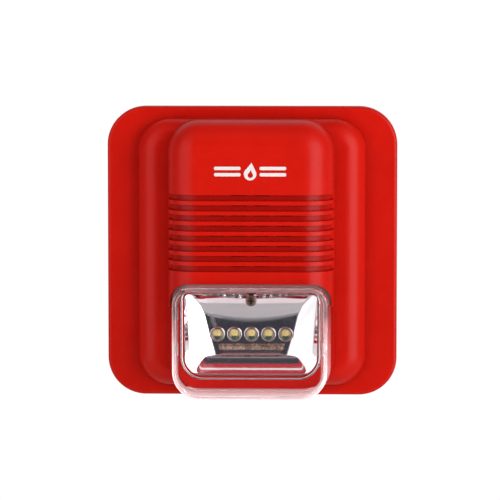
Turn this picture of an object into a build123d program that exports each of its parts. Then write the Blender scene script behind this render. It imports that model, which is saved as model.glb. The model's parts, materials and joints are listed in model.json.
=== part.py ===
from build123d import *
import os
from math import radians, tan

# Wall-mounted fire alarm horn strobe, in millimetres.
# Every piece is drawn in a working frame seen from the front: x to the right, y up the wall and
# z out from the wall, with its origin at the centre of the wall face. save() turns each piece
# into the part's own frame, where the alarm hangs on a wall with its face towards -Y and +Z up.

# --- Outer form of the head -------------------------------------------------------------------
PLATE = 122.0            # side of the square face plate
PLATE_CORNER = 16.0
PLATE_EDGE = 1.4         # rounding where the plate's face turns into its skirt
SKIRT_REAR = 1.5         # the skirt stops this far short of the wall
PLATE_FRONT = 8.5
TIER_WIDTH = 95.2        # raised middle step
TIER_HEIGHT = 112.4
TIER_CORNER = 13.0
TIER_EDGE = 8.4
TIER_FRONT = 20.0
CENTRE_HALF = 34.7       # half width of the centre block where it leaves the middle step
CENTRE_FRONT = 38.0
CENTRE_CORNER = 13.0
CENTRE_EDGE = 12.3
CENTRE_DRAFT = tan(radians(2.5))
WALL = 2.4

# --- Louvres in front of the sounder ----------------------------------------------------------
GROOVES = 8
GROOVE_PITCH = 4.2
GROOVE_HEIGHT = 2.55
GROOVE_TOP = 26.0
GROOVE_DEPTH = 2.8
GROOVE_SWEEP = 12.2      # radius of the groove floor where it turns down the rounded sides
GROOVE_FLAT = 21.2       # half width of the groove's flat floor
GROOVE_END = 20.6        # the grooves run out on the sides at this height above the wall
SLOT_HEIGHT = 0.5
SLOT_LENGTH = 6.4
SLOT_GAP = 2.9
SOUND_RADIUS = 16.5      # the slots stay inside this circle
LOUVRE_CEILING = 33.2    # inside of the front wall behind the louvres

SYMBOL_Y = 35.8          # white marking above the louvres
SYMBOL_HEIGHT = 0.25

# --- Strobe -----------------------------------------------------------------------------------
LENS_LOW = 9.2           # rear edge of the lens apron
LENS_FRONT = 47.0
LENS_SKIN = 1.6
LENS_REST = 23.2         # rear edge of the lens where it stands in its trench
TRENCH_FLOOR = 23.0
LENS_TAB_X = 31.8
LENS_LOW_SIZE = (34.1, -11.0, -59.6, 8.0, 12.0)    # half width, top, bottom, top and bottom corner
LENS_FRONT_SIZE = (31.9, -11.95, -58.3, 7.5, 11.5)
PEDESTAL_FRONT = 30.0
PEDESTAL_HALF = 30.4
PEDESTAL_TOP = -13.45
REFLECTOR_HALF = 28.75
REFLECTOR_TOP = -13.6
REFLECTOR_BOTTOM = -51.2
REFLECTOR_FLANGE = 0.8
REFLECTOR_BACK = 15.6    # inside face of the reflector's back wall
REFLECTOR_SKIN = 1.2
LED_ROW = -34.0
LED_PITCH = 7.15
LED_COUNT = 5
LED_RADIUS = 2.5
REFLECTOR_SCREW_Y = -19.2

# --- Circuit boards ---------------------------------------------------------------------------
BOARD_REAR = 11.0
BOARD_FRONT = 12.6
BOARD_HALF = 37.5
BOARD_TOP = 49.0
BOARD_BOTTOM = -8.0
BOARD_SCREWS = [(33.5, 45.0), (-33.5, 45.0), (33.5, -4.0), (-33.5, -4.0)]
LED_BOARD = (56.0, 14.0)
LED_BOARD_SCREW_X = 24.5
CAPACITOR_PLACES = [(8.0, 41.5), (19.0, 41.5)]
INDUCTOR_AT = (-14.0, 41.0)
TRANSISTOR_PLACES = [(-26.0, 43.0), (-26.0, 37.5)]
DIODE_PLACES = [(-26.0, 20.0 + 4.0 * k) for k in range(4)]
RESISTOR_PLACES = [(12.0 + 3.2 * (k % 4), 4.0 + 3.0 * (k // 4)) for k in range(8)]
CERAMIC_PLACES = [(-14.0 - 3.2 * (k % 3), 4.0 + 3.0 * (k // 3)) for k in range(6)]

# --- Sounder ----------------------------------------------------------------------------------
SOUNDER_Y = 10.5
SOUNDER_RADIUS = 19.0
SOUNDER_EAR_X = 24.0
CUP_REAR = 22.4
CUP_FRONT = 32.15
DISC_SEAT = 25.0
DISC_RADIUS = 17.5
SCREEN_THICKNESS = 0.25

# --- Rear cover and mounting base -------------------------------------------------------------
COVER_REAR = 4.1
COVER_FRONT = 6.1
COVER_WIDTH = 100.0
COVER_HEIGHT = 109.0
COVER_SCREWS = [(41.0, 22.0), (-41.0, 22.0), (36.0, -47.0), (-36.0, -47.0)]
BASE = 113.6
BASE_CORNER = 12.0
BASE_THICKNESS = 2.5
BASE_OPENING = 44.0
HINGE_Y = 56.4           # the head turns on two beads at the top of the base
HINGE_Z = 4.0
BEAD_RADIUS = 1.2
BEAD_CLEARANCE = 0.06
BEAD_LENGTH = 8.0
BEAD_X = 36.0
BOX_SCREW_SPACING = 60.0
GANG_SCREW_SPACING = 83.3
WALL_SCREW_SPACING = 90.0
BOX_SLOT_LENGTH = 10.0
BOX_SLOT_RADIUS = 2.2
WALL_HOLE_RADIUS = 2.3

# --- Wiring and setting parts on the back of the main board -------------------------------------
TERMINALS = 4
TERMINAL_PITCH = 5.0
TERMINAL_Y = 2.0
TERMINAL_REAR = 1.0
TERMINAL_DEPTH = 8.6
CAGE_REST = 6.0          # a clamp cage's rear edge when its screw is open
CAGE_LENGTH = 4.5
DIP_X = -25.0
DIP_Y = 10.0
DIP_LEVERS = 4
DIP_PITCH = 2.54
DIP_REAR = 7.1
DIP_TRAVEL = 1.6
TRIMMER_X = 25.0
TRIMMER_Y = 10.0
TRIMMER_REAR = 6.6
TRIMMER_ROTOR = 2.2
HEADER_X = 14.0

FIT = 0.03               # a screw's thread stands this far inside its pilot hole


# --- Small building blocks ----------------------------------------------------------------------
def slab(width, height, corner, low, high, at=(0, 0)):
    """Plate with rounded corners between two heights above the wall."""
    return Pos(at[0], at[1], low) * extrude(RectangleRounded(width, height, corner), high - low)


def rod(radius, low, high, at=(0, 0)):
    """Cylinder standing out from the wall."""
    upright = (Align.CENTER, Align.CENTER, Align.MIN)
    return Pos(at[0], at[1], low) * Cylinder(radius, high - low, align=upright)


def ring(outer, inner, low, high, at=(0, 0)):
    return rod(outer, low, high, at) - rod(inner, low, high, at)


def bar(x, y, z):
    """Box from three (low, high) pairs."""
    centre = [(low + high) / 2 for low, high in (x, y, z)]
    return Pos(*centre) * Box(x[1] - x[0], y[1] - y[0], z[1] - z[0])


def across(points, y):
    """Solid with a section of (x, z) points, running from y[0] to y[1]."""
    section = Plane.XZ * make_face(Polyline(*points, close=True))
    return Pos(0, y[1], 0) * extrude(section, y[1] - y[0])


def group_of(make, places):
    """One solid for each (x, y) place, as one group."""
    return Compound(children=[make(place) for place in places])


def joined(solids):
    whole = solids[0]
    for solid in solids[1:]:
        whole = whole + solid
    return whole


def screw(at, head_rear, head_radius, head_height, tip, radius, towards_wall):
    """Pan head screw with a cross recess. Its head faces the wall, or the front."""
    sign = 1 if towards_wall else -1
    ends = sorted((head_rear, head_rear + sign * head_height))
    head = rod(head_radius, ends[0], ends[1], at)
    outer = head.edges().filter_by(GeomType.CIRCLE).sort_by(Axis.Z)[0 if towards_wall else -1]
    head = fillet(outer, head_height * 0.45)
    shank_ends = sorted((head_rear + sign * head_height, tip))
    shank = rod(radius, shank_ends[0], shank_ends[1], at)
    arm, blade, depth = head_radius * 0.62, head_radius * 0.2, head_height * 0.6
    middle = head_rear + sign * depth / 2
    cross = Box(2 * arm, blade, depth) + Box(blade, 2 * arm, depth)
    return head + shank - Pos(at[0], at[1], middle) * cross


def wire(points, radius, first_tangent=None):
    """Insulated lead: straight runs joined by arcs as large as the runs allow."""
    vectors = [Vector(*p) for p in points]
    radii = []
    for before, here, after in zip(vectors, vectors[1:], vectors[2:]):
        run_in, run_out = here - before, after - here
        half_turn = radians(run_in.get_angle(run_out)) / 2
        radii.append(0.45 * min(run_in.length, run_out.length) / tan(half_turn))
    path = FilletPolyline(*points, radius=radii)
    profile = Plane(origin=points[0], z_dir=vectors[1] - vectors[0]) * Circle(radius)
    return sweep(profile, path=path)


def save(name, shape):
    """Turns a finished piece into the part's own frame and writes it."""
    export_step(Rot(90, 0, 0) * shape, f"parts/{name}.step")


# --- Outlines shared by several pieces ------------------------------------------------------------
def outline(half, top, bottom, top_corner, bottom_corner, low_half=None):
    """Upright rounded rectangle whose top and bottom corners, and widths, may differ."""
    low_half = low_half or half
    face = Polygon((half, top), (-half, top), (-low_half, bottom), (low_half, bottom), align=None)
    face = fillet(face.vertices().group_by(Axis.Y)[-1], top_corner)
    return fillet(face.vertices().group_by(Axis.Y)[0], bottom_corner)


def lens_outline(height, inset=0.0):
    """Section of the lens at a height above the wall, drawn in by inset."""
    share = (height - LENS_LOW) / (LENS_FRONT - LENS_LOW)
    half, top, bottom, top_corner, bottom_corner = (
        low + share * (front - low) for low, front in zip(LENS_LOW_SIZE, LENS_FRONT_SIZE)
    )
    return outline(
        half - inset, top - inset, bottom + inset, top_corner - inset, bottom_corner - inset
    )


def lens_form(low, high, inset):
    """The lens as a full solid between two heights, its faces drawn in by inset."""
    ends = Sketch() + [Pos(0, 0, z) * lens_outline(z, inset) for z in (low, high)]
    return loft(ends)


def pedestal_outline(inset=0.0):
    return outline(
        PEDESTAL_HALF - inset,
        PEDESTAL_TOP - inset,
        -TIER_HEIGHT / 2 + inset,
        5.8 - inset,
        9.8 - inset,
    )


def centre_form(inset):
    """Centre block, drawn in by inset: sides with a little draft, and a large round front edge."""
    half = CENTRE_HALF - inset
    front = CENTRE_FRONT - inset
    reach = TIER_HEIGHT / 2 - inset
    low = PLATE_FRONT - WALL
    spread = half + CENTRE_DRAFT * (TIER_FRONT - low)
    narrow = half - CENTRE_DRAFT * (CENTRE_FRONT - TIER_FRONT)
    solid = across([(-spread, low), (spread, low), (narrow, front), (-narrow, front)], (-reach, reach))
    upright = [
        edge for edge in solid.edges()
        if abs(abs(edge.center().Y) - reach) < 0.01 and low + 1 < edge.center().Z < front - 1
    ]
    solid = fillet(upright, CENTRE_CORNER - inset)
    return fillet(solid.faces().sort_by(Axis.Z)[-1].edges(), CENTRE_EDGE - inset)


# --- Head: front housing ------------------------------------------------------------------------
def stepped_form():
    """Plate, middle step and centre block as one solid, before it is hollowed."""
    plate = slab(PLATE, PLATE, PLATE_CORNER, SKIRT_REAR, PLATE_FRONT)
    plate = fillet(plate.faces().sort_by(Axis.Z)[-1].edges(), PLATE_EDGE)
    tier = slab(TIER_WIDTH, TIER_HEIGHT, TIER_CORNER, PLATE_FRONT - WALL, TIER_FRONT)
    tier = fillet(tier.faces().sort_by(Axis.Z)[-1].edges(), TIER_EDGE)
    return plate + tier + centre_form(0)


def lens_trench():
    """Room for the lens: everything in front of the pedestal, and a trench round it."""
    reach = 60.0
    shoulder_end = -21.0
    beside = Polygon(
        (-CENTRE_HALF - 6, -70), (CENTRE_HALF + 6, -70), (CENTRE_HALF + 6, shoulder_end - 5),
        (LENS_LOW_SIZE[0] - 0.5, shoulder_end), (-LENS_LOW_SIZE[0] + 0.5, shoulder_end),
        (-CENTRE_HALF - 6, shoulder_end - 5), align=None,
    )
    pocket = lens_outline(TRENCH_FLOOR, inset=-0.3) + beside
    pocket = Pos(0, 0, TRENCH_FLOOR) * extrude(pocket, reach)
    pedestal = Pos(0, 0, TRENCH_FLOOR) * extrude(pedestal_outline(), PEDESTAL_FRONT - TRENCH_FLOOR)
    return pocket - pedestal


def groove_centres():
    return [GROOVE_TOP - GROOVE_HEIGHT / 2 - GROOVE_PITCH * k for k in range(GROOVES)]


def grooves():
    """Louvre grooves: flat in the middle, running out on the rounded sides."""
    floor = CENTRE_FRONT - GROOVE_DEPTH
    bend_z = floor - GROOVE_SWEEP
    run_out = CENTRE_HALF + 0.2
    with BuildSketch(Plane.XZ) as core:
        with BuildLine():
            right = CenterArc((GROOVE_FLAT, bend_z), GROOVE_SWEEP, 0, 90)
            left = CenterArc((-GROOVE_FLAT, bend_z), GROOVE_SWEEP, 90, 90)
            Line(right @ 1, left @ 0)
            Polyline(
                left @ 1, (-run_out, GROOVE_END), (-run_out, 0),
                (run_out, 0), (run_out, GROOVE_END), right @ 0,
            )
        make_face()
    core_solid = Pos(0, 40, 0) * extrude(core.sketch, 80)
    around = bar((-40, 40), (-40, 40), (GROOVE_END, 60)) - core_solid
    bands = joined(
        [bar((-40, 40), (y - GROOVE_HEIGHT / 2, y + GROOVE_HEIGHT / 2), (0, 60)) for y in groove_centres()]
    )
    return around & bands


def sound_slots():
    """Thin slots under the top wall of each groove, inside the sounder's circle."""
    slots = []
    pitch = SLOT_LENGTH + SLOT_GAP
    for centre in groove_centres():
        level = centre + GROOVE_HEIGHT / 2 - SLOT_HEIGHT / 2
        room = SOUND_RADIUS**2 - (level - SOUNDER_Y) ** 2
        if room <= 0:
            continue
        for k in (-1.5, -0.5, 0.5, 1.5):
            x = k * pitch
            if abs(x) + SLOT_LENGTH / 2 > room**0.5 + SLOT_GAP:
                continue
            slots.append(slab(SLOT_LENGTH, SLOT_HEIGHT, SLOT_HEIGHT * 0.45, 30, 40, (x, level)))
    return slots


def head_cavities():
    """The hollows inside the housing, with walls left between the two compartments."""
    inner = PLATE - 2 * WALL
    behind_plate = slab(inner, inner, PLATE_CORNER - WALL, SKIRT_REAR - 1, PLATE_FRONT - WALL)
    behind_tier = slab(
        TIER_WIDTH - 2 * WALL, TIER_HEIGHT - 2 * WALL, TIER_CORNER - WALL,
        PLATE_FRONT - WALL - 0.1, TIER_FRONT - WALL,
    )
    behind_tier = fillet(behind_tier.faces().sort_by(Axis.Z)[-1].edges(), TIER_EDGE - WALL)
    tier_ceiling = TIER_FRONT - WALL
    louvre_end = GROOVE_TOP + WALL
    upper = centre_form(WALL) & bar((-50, 50), (louvre_end, 70), (tier_ceiling - 1, 70))
    louvre_half = PEDESTAL_HALF - 0.6
    louvre = bar((-louvre_half, louvre_half), (-9.6, louvre_end + 0.1), (tier_ceiling - 1, LOUVRE_CEILING))
    long_edges = louvre.faces().sort_by(Axis.Z)[-1].edges().filter_by(Axis.Y)
    louvre = fillet(long_edges, 8.0)
    below_trench = bar(
        (-louvre_half, louvre_half), (PEDESTAL_TOP + 0.15, -9.5), (tier_ceiling - 1, TRENCH_FLOOR - WALL)
    )
    strobe = Pos(0, 0, tier_ceiling - 1) * extrude(
        pedestal_outline(WALL), PEDESTAL_FRONT - WALL - tier_ceiling + 1
    )
    return [behind_plate, behind_tier, upper, louvre, below_trench, strobe]


def reflector_opening():
    """Window in the pedestal's front, a flange's width smaller than the reflector."""
    face = outline(
        REFLECTOR_HALF - 1.0, REFLECTOR_TOP - 1.0, REFLECTOR_BOTTOM + 0.9, 3.5, 8.2
    )
    return Pos(0, 0, PEDESTAL_FRONT - 2 * WALL) * extrude(face, 3 * WALL)


def lens_tab_places():
    return [(x, y) for x in (LENS_TAB_X, -LENS_TAB_X) for y in (-25.0, -40.0)]


def hinge_hook(x):
    """Saddle inside the skirt that hangs on a bead of the mounting base."""
    inner = PLATE / 2 - WALL
    saddle = bar((x - 4.5, x + 4.5), (HINGE_Y - 1.6, inner + 0.5), (HINGE_Z, PLATE_FRONT - 1))
    groove_radius = BEAD_RADIUS + BEAD_CLEARANCE
    groove = Rot(0, 90, 0) * Cylinder(groove_radius, 12)
    return saddle - Pos(x, HINGE_Y, HINGE_Z) * groove


def front_housing():
    body = stepped_form() - lens_trench() - grooves()
    solid = body
    for cavity in head_cavities():
        body = body - cavity
    pillars = [rod(3.0, BOARD_FRONT, 30, at) for at in BOARD_SCREWS]
    pillars += [rod(3.2, COVER_FRONT + 1.3, 30, at) for at in COVER_SCREWS]
    pillars += [rod(3.0, CUP_REAR + 2.0, 37, (x, SOUNDER_Y)) for x in (SOUNDER_EAR_X, -SOUNDER_EAR_X)]
    web = bar((-3.3, 3.3), (REFLECTOR_SCREW_Y, PEDESTAL_TOP), (14.0, 22.0))
    pillars += [(rod(3.3, 14.0, 22.0, (0, REFLECTOR_SCREW_Y)) + web) - reflector_outer(0.4)]
    for pillar in pillars:
        body = body + (pillar & solid)
    body = body + hinge_hook(BEAD_X) + hinge_hook(-BEAD_X)
    body = body - reflector_opening()
    for slot in sound_slots():
        body = body - slot
    for at in BOARD_SCREWS:
        body = body - rod(1.25, 0, 17.0, at)
    for at in COVER_SCREWS:
        body = body - rod(1.25, 0, 14.5, at)
    for x in (SOUNDER_EAR_X, -SOUNDER_EAR_X):
        body = body - rod(1.1, 20, 31.0, (x, SOUNDER_Y))
    body = body - rod(1.1, 14.5, 23, (0, REFLECTOR_SCREW_Y))
    for x, y in lens_tab_places():
        body = body - bar((x - 1.1, x + 1.1), (y - 2.8, y + 2.8), (TIER_FRONT - WALL - 1, TRENCH_FLOOR + 1))
    catch = bar((-9, 9), (-PLATE / 2 + WALL - 0.2, -PLATE / 2 + WALL + 1.0), (SKIRT_REAR + 0.2, 3.0))
    release = bar((-5, 5), (-PLATE / 2 - 1, -PLATE / 2 + WALL + 2), (0, SKIRT_REAR + 0.9))
    return body + catch - release


def front_symbol():
    """Raised white marking on the front: a drop-shaped flame between two pairs of bars."""
    drop = Circle(2.6) + Polygon((-2.35, 1.1), (2.35, 1.1), (0.6, 4.7), align=None)
    heart = Pos(0.1, -0.5) * (Circle(1.1) + Polygon((-1.0, 0.4), (1.0, 0.4), (0.2, 2.1), align=None))
    flame = Pos(0, SYMBOL_Y - 1.05) * (drop - heart)
    marks = [flame]
    for side in (-1, 1):
        for y in (SYMBOL_Y - 1.3, SYMBOL_Y + 1.3):
            marks.append(Pos(side * 9.4, y) * RectangleRounded(11.0, 1.4, 0.6))
    solids = [Pos(0, 0, CENTRE_FRONT) * extrude(mark, SYMBOL_HEIGHT) for mark in marks]
    return Compound(children=solids)


# --- Head: strobe ---------------------------------------------------------------------------------
def strobe_lens():
    """Clear cover: a box open at the back, with an apron over the bottom of the housing."""
    outer = lens_form(LENS_LOW, LENS_FRONT, 0)
    outer = fillet(outer.faces().sort_by(Axis.Z)[-1].edges(), 3.4)
    inner = lens_form(LENS_LOW, LENS_FRONT - LENS_SKIN, LENS_SKIN)
    inner = fillet(inner.faces().sort_by(Axis.Z)[-1].edges(), 1.6)
    apron_top = -TIER_HEIGHT / 2 - 1.4
    behind = bar((-50, 50), (apron_top, 0), (0, LENS_REST))
    lens = outer - inner - behind
    for x, y in lens_tab_places():
        outer_side = x + 1.5 if x > 0 else x - 1.5
        barb = bar(sorted((x, outer_side)), (y - 2.4, y + 2.4), (16.6, 17.3))
        tab = bar((x - 0.8, x + 0.8), (y - 2.4, y + 2.4), (16.6, LENS_REST + 1.2))
        lens = lens + tab + barb
    return lens


def led_places():
    middle = (LED_COUNT - 1) / 2
    return [((k - middle) * LED_PITCH, LED_ROW) for k in range(LED_COUNT)]


def trough(stations):
    """Curved trough through (height, half width, top, bottom, corners, lower half width) stations."""
    return loft(Sketch() + [Pos(0, 0, height) * outline(*sizes) for height, *sizes in stations])


def reflector_outer(margin):
    """The back of the reflector's bowl, grown by margin."""
    stations = [
        (PEDESTAL_FRONT + 0.3, 27.45, -14.9, -50.0, 3.2, 7.8, 27.45),
        (22.5 - REFLECTOR_SKIN, 25.6, -19.3, -49.0, 4.8, 7.2, 24.2),
        (REFLECTOR_BACK - REFLECTOR_SKIN, 21.2, -25.4, -44.6, 4.6, 5.0, 16.2),
    ]
    return trough([
        (height - margin, half + margin, top + margin, bottom - margin, *corners, low_half + margin)
        for height, half, top, bottom, *corners, low_half in stations
    ])


def strobe_reflector():
    """Bright trough: flange, curved walls, a flat back with five holes and a ledge below them."""
    back = REFLECTOR_BACK
    flange = Pos(0, 0, PEDESTAL_FRONT) * extrude(
        outline(REFLECTOR_HALF, REFLECTOR_TOP, REFLECTOR_BOTTOM, 4.0, 9.0), REFLECTOR_FLANGE
    )
    inside = trough([
        (PEDESTAL_FRONT + REFLECTOR_FLANGE, 27.0, -15.4, -49.5, 2.6, 7.2, 27.0),
        (22.5, 24.9, -20.0, -48.3, 4.2, 6.8, 23.4),
        (back, 19.8, -26.8, -43.2, 4.2, 4.4, 14.6),
    ])
    places = [(x, LED_ROW) for x in (LED_BOARD_SCREW_X, -LED_BOARD_SCREW_X)]
    pillars = [rod(2.4, BOARD_FRONT, 24.0, at) for at in places]
    body = joined([reflector_outer(0), flange] + pillars) - inside
    boss = rod(3.0, 17.0, 26.5, (0, REFLECTOR_SCREW_Y)) & reflector_outer(0)
    ledge = bar((-13.1, 13.1), (-40.9, -39.2), (back - 0.4, back + 1.3))
    body = body + boss + chamfer(ledge.faces().sort_by(Axis.Z)[-1].edges(), 0.5)
    body = body - rod(2.5, 25.0, 28, (0, REFLECTOR_SCREW_Y)) - rod(1.4, 15, 28, (0, REFLECTOR_SCREW_Y))
    upright = (Align.CENTER, Align.CENTER, Align.MIN)
    for x, y in led_places():
        flare = Cone(LED_RADIUS + 0.2, LED_RADIUS + 1.0, 0.8, align=upright)
        body = body - rod(LED_RADIUS + 0.2, 10, 22, (x, y)) - Pos(x, y, back - 0.7) * flare
    for at in places:
        body = body - rod(0.95, BOARD_FRONT - 1, 19.0, at)
    return body


def strobe_led(at):
    """Round clear lamp: flange, barrel and dome."""
    flange = rod(2.9, BOARD_FRONT, BOARD_FRONT + 1.0, at)
    barrel_end = BOARD_FRONT + 8.6 - LED_RADIUS
    barrel = rod(LED_RADIUS, BOARD_FRONT, barrel_end, at)
    dome = Pos(at[0], at[1], barrel_end) * Sphere(LED_RADIUS)
    dome = dome & bar((at[0] - 3, at[0] + 3), (at[1] - 3, at[1] + 3), (barrel_end, 40))
    return flange + barrel + dome


def led_leads():
    legs = []
    for x, y in led_places():
        for side in (-1.27, 1.27):
            legs.append(bar((x + side - 0.25, x + side + 0.25), (y - 0.25, y + 0.25), (9.8, BOARD_FRONT)))
    return Compound(children=legs)


def led_board():
    board = slab(LED_BOARD[0], LED_BOARD[1], 1.5, BOARD_REAR, BOARD_FRONT, (0, LED_ROW))
    for x, y in led_places():
        for side in (-1.27, 1.27):
            board = board - rod(0.45, 10, 13, (x + side, y))
    for x in (LED_BOARD_SCREW_X, -LED_BOARD_SCREW_X):
        board = board - rod(1.3, 10, 13, (x, LED_ROW))
    return board


# --- Head: sounder --------------------------------------------------------------------------------
def sounder_ears(low, high):
    ears = bar(
        (-SOUNDER_EAR_X, SOUNDER_EAR_X), (SOUNDER_Y - 3.5, SOUNDER_Y + 3.5), (low, high)
    )
    for x in (SOUNDER_EAR_X, -SOUNDER_EAR_X):
        ears = ears + rod(3.5, low, high, (x, SOUNDER_Y))
    return ears


def ear_holes():
    return [rod(1.4, CUP_REAR - 3, CUP_REAR + 3, (x, SOUNDER_Y)) for x in (SOUNDER_EAR_X, -SOUNDER_EAR_X)]


def sounder_cup():
    """Resonator: the disc sits on a step behind a baffle with one round throat."""
    at = (0, SOUNDER_Y)
    cup = rod(SOUNDER_RADIUS, CUP_REAR, CUP_FRONT, at) + sounder_ears(CUP_REAR, CUP_REAR + 2.0)
    cup = cup - rod(DISC_RADIUS + 0.1, CUP_REAR - 1, DISC_SEAT, at)
    cup = cup - rod(16.4, DISC_SEAT - 0.1, 27.8, at)
    cup = cup - rod(4.5, 27, 30, at)
    cup = cup - rod(17.2, 29.0, CUP_FRONT + 1, at)
    for hole in ear_holes():
        cup = cup - hole
    return cup


def sounder_back():
    """Cap that presses the disc on to its step."""
    at = (0, SOUNDER_Y)
    low = CUP_REAR - 1.5
    cap = rod(SOUNDER_RADIUS, low, CUP_REAR, at) + sounder_ears(low, CUP_REAR)
    cap = cap + ring(DISC_RADIUS - 0.05, 16.4, CUP_REAR, DISC_SEAT - 0.3, at)
    cap = cap - rod(2.6, low - 1, CUP_REAR + 1, (4.0, SOUNDER_Y - 7.0))
    for hole in ear_holes():
        cap = cap - hole
    return cap


# --- Head: main board and what is on it -------------------------------------------------------------
def main_board():
    height = BOARD_TOP - BOARD_BOTTOM
    middle = (BOARD_TOP + BOARD_BOTTOM) / 2
    board = slab(2 * BOARD_HALF, height, 2.0, BOARD_REAR, BOARD_FRONT, (0, middle))
    for at in BOARD_SCREWS:
        board = board - rod(1.7, 10, 14, at)
    for x in terminal_places():
        board = board - rod(0.7, 10, 14, (x, TERMINAL_Y + 2.9))
    return board


def capacitor(at):
    can = rod(4.0, BOARD_FRONT, BOARD_FRONT + 11.5, at)
    can = fillet(can.edges().filter_by(GeomType.CIRCLE).sort_by(Axis.Z)[-1], 0.5)
    pinch = ring(4.5, 3.75, BOARD_FRONT + 1.4, BOARD_FRONT + 2.2, at)
    return can - pinch


def inductor_core():
    foot = rod(5.0, BOARD_FRONT, BOARD_FRONT + 1.3, INDUCTOR_AT)
    stem = rod(2.4, BOARD_FRONT, BOARD_FRONT + 10.0, INDUCTOR_AT)
    top = rod(5.0, BOARD_FRONT + 8.7, BOARD_FRONT + 10.0, INDUCTOR_AT)
    return foot + stem + top


def inductor_winding():
    return ring(4.5, 2.42, BOARD_FRONT + 1.32, BOARD_FRONT + 8.68, INDUCTOR_AT)


def drive_transistor(at):
    """Flat-sided plastic body standing on three legs."""
    low = BOARD_FRONT + 2.0
    body = rod(2.3, low, low + 4.6, at) - bar((-60, 60), (at[1] + 1.4, at[1] + 5), (low - 1, low + 6))
    legs = [
        bar((at[0] + x - 0.2, at[0] + x + 0.2), (at[1] - 0.2, at[1] + 0.2), (BOARD_FRONT, low + 0.2))
        for x in (-1.27, 0, 1.27)
    ]
    return joined([body] + legs)


def controller_chip():
    """Fourteen-lead surface-mount chip."""
    x, y = 0.0, 13.0
    chip = bar((x - 4.33, x + 4.33), (y - 1.95, y + 1.95), (BOARD_FRONT + 0.2, BOARD_FRONT + 1.65))
    chip = chamfer(chip.edges().filter_by(Axis.X).group_by(Axis.Z)[-1], 0.25)
    for k in range(7):
        lead_x = x + (k - 3) * 1.27
        chip = chip + bar(
            (lead_x - 0.2, lead_x + 0.2), (y - 3.0, y + 3.0), (BOARD_FRONT, BOARD_FRONT + 0.22)
        )
    return chip


def small_parts(places, size):
    """Group of box-shaped surface-mount parts on the board's front."""
    length, width, height = size
    parts = []
    for x, y in places:
        body = bar(
            (x - length / 2, x + length / 2), (y - width / 2, y + width / 2),
            (BOARD_FRONT, BOARD_FRONT + height),
        )
        parts.append(chamfer(body.faces().sort_by(Axis.Z)[-1].edges(), height * 0.15))
    return Compound(children=parts)


def led_header():
    """Open-fronted socket on the back of the board for the lamp lead."""
    x, y = HEADER_X, BOARD_BOTTOM
    socket = bar((x - 3.6, x + 3.6), (y, y + 5.6), (BOARD_REAR - 3.6, BOARD_REAR))
    return socket - bar((x - 2.9, x + 2.9), (y - 1, y + 4.6), (BOARD_REAR - 3.0, BOARD_REAR - 0.6))


def led_plug():
    x, y = HEADER_X, BOARD_BOTTOM
    plug = bar((x - 2.8, x + 2.8), (y - 2.4, y + 4.4), (BOARD_REAR - 2.9, BOARD_REAR - 0.7))
    grip = bar((x - 2.8, x + 2.8), (y - 2.4, y - 1.2), (BOARD_REAR - 3.3, BOARD_REAR - 0.5))
    return plug + grip


def led_wires():
    """Two leads from the plug to the back of the lamp board."""
    leads = []
    start = BOARD_BOTTOM - 2.4
    for x, drift in ((HEADER_X - 1.25, -0.9), (HEADER_X + 1.25, 0.8)):
        points = [
            (x, start, 9.2),
            (x, start - 4.6, 9.3),
            (x + drift, start - 10.0, 8.4),
            (x + drift * 0.6, start - 15.5, 8.7),
            (x + drift * 0.3, start - 19.0, 9.2),
            (x + drift * 0.3, start - 19.0, 11.0),
        ]
        leads.append(wire(points, 0.6))
    return Compound(children=leads)


def piezo_wires():
    """Two leads from the disc, through the cap, to the front of the main board."""
    leads = []
    for side in (-1, 1):
        x = 4.0 + side * 1.0
        y = SOUNDER_Y - 7.0
        points = [
            (x, y, DISC_SEAT - 0.55),
            (x, y, 20.2),
            (x + side * 1.4, y + 1.2, 16.6),
            (x + side * 1.6, y + 1.4, BOARD_FRONT),
        ]
        leads.append(wire(points, 0.45))
    return Compound(children=leads)


# --- Head: terminals ----------------------------------------------------------------------------------
def terminal_places():
    middle = (TERMINALS - 1) / 2
    return [(k - middle) * TERMINAL_PITCH for k in range(TERMINALS)]


def terminal_block():
    """Four-way screw terminal. Wires go in from below, and the screws are reached from the back."""
    half = TERMINALS * TERMINAL_PITCH / 2 + 0.4
    low, high = TERMINAL_Y - TERMINAL_DEPTH / 2, TERMINAL_Y + TERMINAL_DEPTH / 2
    body = bar((-half, half), (low, high), (TERMINAL_REAR, BOARD_REAR))
    rear_edges = body.faces().sort_by(Axis.Z)[0].edges().filter_by(Axis.X)
    body = chamfer(rear_edges, 0.8)
    for x in terminal_places():
        body = body - rod(1.85, TERMINAL_REAR - 1, 3.0, (x, TERMINAL_Y))
        body = body - rod(1.15, TERMINAL_REAR - 1, 4.0, (x, TERMINAL_Y))
        body = body - bar((x - 1.95, x + 1.95), (TERMINAL_Y - 2.2, TERMINAL_Y + 2.2), (3.5, 10.6))
        body = body - bar((x - 1.6, x + 1.6), (low - 1, TERMINAL_Y), (6.6, 10.0))
        body = body - bar((x - 1.1, x + 1.1), (TERMINAL_Y - 2, TERMINAL_Y + 3.5), (6.85, 7.55))
        body = body - bar((x - 0.5, x + 0.5), (TERMINAL_Y + 2.4, TERMINAL_Y + 3.4), (6.85, 12))
    return body


def terminal_pin(x):
    """Fixed contact bar in the cage's window, with its leg through the board."""
    contact = bar((x - 1.0, x + 1.0), (TERMINAL_Y - 1.8, TERMINAL_Y + 3.3), (6.9, 7.5))
    leg = bar((x - 0.4, x + 0.4), (TERMINAL_Y + 2.5, TERMINAL_Y + 3.3), (6.9, 14.0))
    return contact + leg


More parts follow.
